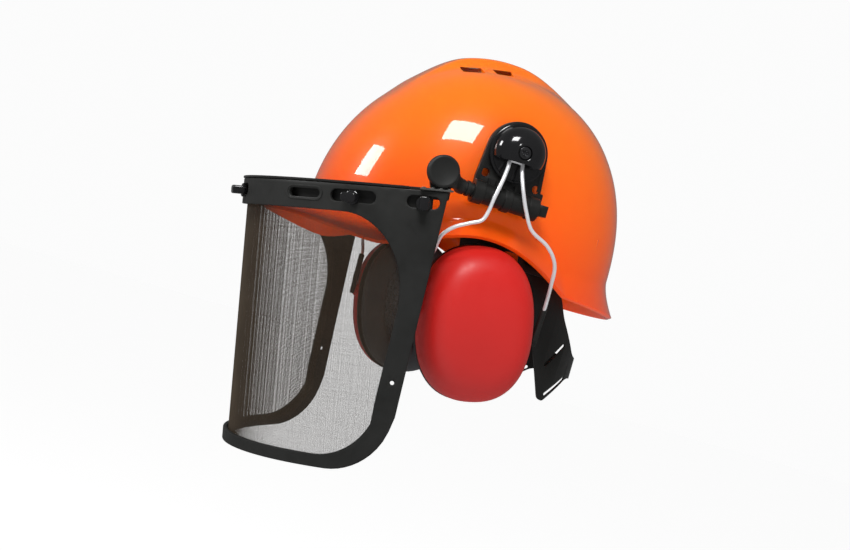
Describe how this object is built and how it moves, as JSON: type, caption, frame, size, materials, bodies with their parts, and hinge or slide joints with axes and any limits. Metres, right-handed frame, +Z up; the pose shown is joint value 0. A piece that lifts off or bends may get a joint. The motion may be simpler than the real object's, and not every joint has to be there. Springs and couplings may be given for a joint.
{
  "type": "hard hat with visor and ear muffs",
  "caption": "Safety helmet with an inner harness, a hinged curved mesh visor on side arms and an ear muff on a bent-wire bail at each side.",
  "frame": {"origin": "middle of the wearer's head between the ears, level with the shell's lower edge over the ears", "axes": "+Z up, -Y the way the wearer faces, +X the wearer's left"},
  "size_m": [0.2828, 0.3155, 0.3398],
  "materials": {
    "orange_shell": "glossy moulded orange",
    "red_cup": "satin moulded red",
    "black_gloss": "glossy black",
    "black_satin": "satin black moulding",
    "black_matte": "matte black moulding",
    "visor_wire": "fine dark mesh",
    "black_vinyl": "soft grained black vinyl",
    "webbing": "woven black webbing",
    "foam": "open-cell foam",
    "spring_wire": "bright drawn wire",
    "dark_screw": "blackened steel"
  },
  "bodies": {
    "helmet": {"shell": "orange_shell", "headband": "black_satin", "sweatband": "black_vinyl", "crown_strap_lower": "webbing", "crown_strap_upper": "webbing", "harness_clip_front_left": "black_satin", "harness_clip_rear_left": "black_satin", "harness_clip_rear_right": "black_satin", "harness_clip_front_right": "black_satin", "adapter_left": "black_satin", "adapter_right": "black_satin", "barrel_cap_left": "black_satin", "barrel_cap_right": "black_satin"},
    "nape": {"nape_strap": "black_satin"},
    "visor_arms": {"visor_arm_left": "black_matte", "visor_arm_right": "black_matte"},
    "visor": {"visor_frame": "black_matte", "visor_mesh": "visor_wire", "visor_carrier": "black_satin", "carrier_bracket_left": "black_satin", "carrier_bracket_right": "black_satin", "hinge_pin_left": "dark_screw", "hinge_pin_right": "dark_screw", "visor_stud_1": "black_satin", "visor_stud_2": "black_satin", "visor_stud_3": "black_satin", "visor_stud_4": "black_satin", "visor_stud_5": "black_satin"},
    "hub_left": {"hub_cap_left": "black_gloss", "hub_screw_left": "dark_screw"},
    "bail_left": {"wire_bail_left": "spring_wire", "yoke_arm_front_left": "black_matte", "yoke_arm_rear_left": "black_matte"},
    "muff_left": {"cup_shell_left": "red_cup", "cup_back_plate_left": "black_satin", "ear_cushion_left": "black_vinyl", "cup_foam_left": "foam"},
    "hub_right": {"hub_cap_right": "black_gloss", "hub_screw_right": "dark_screw"},
    "bail_right": {"wire_bail_right": "spring_wire", "yoke_arm_front_right": "black_matte", "yoke_arm_rear_right": "black_matte"},
    "muff_right": {"cup_shell_right": "red_cup", "cup_back_plate_right": "black_satin", "ear_cushion_right": "black_vinyl", "cup_foam_right": "foam"}
  },
  "joints": [
    {"name": "nape_slide", "type": "slide", "parent": "helmet", "child": "nape", "axis": [0, 1, 0], "range_m": [-0.008, 0.007]},
    {"name": "visor_slide", "type": "slide", "parent": "helmet", "child": "visor_arms", "axis": [0, -1, 0], "range_m": [0, 0.008]},
    {"name": "visor_hinge", "type": "hinge", "parent": "visor_arms", "child": "visor", "pos_m": [0, -0.059, 0.0355], "axis": [-1, 0, 0], "range_deg": [0, 100]},
    {"name": "hub_swing_left", "type": "hinge", "parent": "helmet", "child": "hub_left", "pos_m": [0.112, -0.005, 0.0655], "axis": [1, 0, 0], "range_deg": [0, 5]},
    {"name": "bail_lift_left", "type": "hinge", "parent": "hub_left", "child": "bail_left", "pos_m": [0.121, -0.007, 0.0589], "axis": [0, -1, 0], "range_deg": [0, 35]},
    {"name": "cup_tilt_left", "type": "hinge", "parent": "bail_left", "child": "muff_left", "pos_m": [0.104, 0, -0.059], "axis": [0, -1, 0], "range_deg": [-10, 10]},
    {"name": "hub_swing_right", "type": "hinge", "parent": "helmet", "child": "hub_right", "pos_m": [-0.112, -0.005, 0.0655], "axis": [1, 0, 0], "range_deg": [0, 5]},
    {"name": "bail_lift_right", "type": "hinge", "parent": "hub_right", "child": "bail_right", "pos_m": [-0.121, -0.007, 0.0589], "axis": [0, 1, 0], "range_deg": [0, 35]},
    {"name": "cup_tilt_right", "type": "hinge", "parent": "bail_right", "child": "muff_right", "pos_m": [-0.104, 0, -0.059], "axis": [0, 1, 0], "range_deg": [-10, 10]}
  ]
}
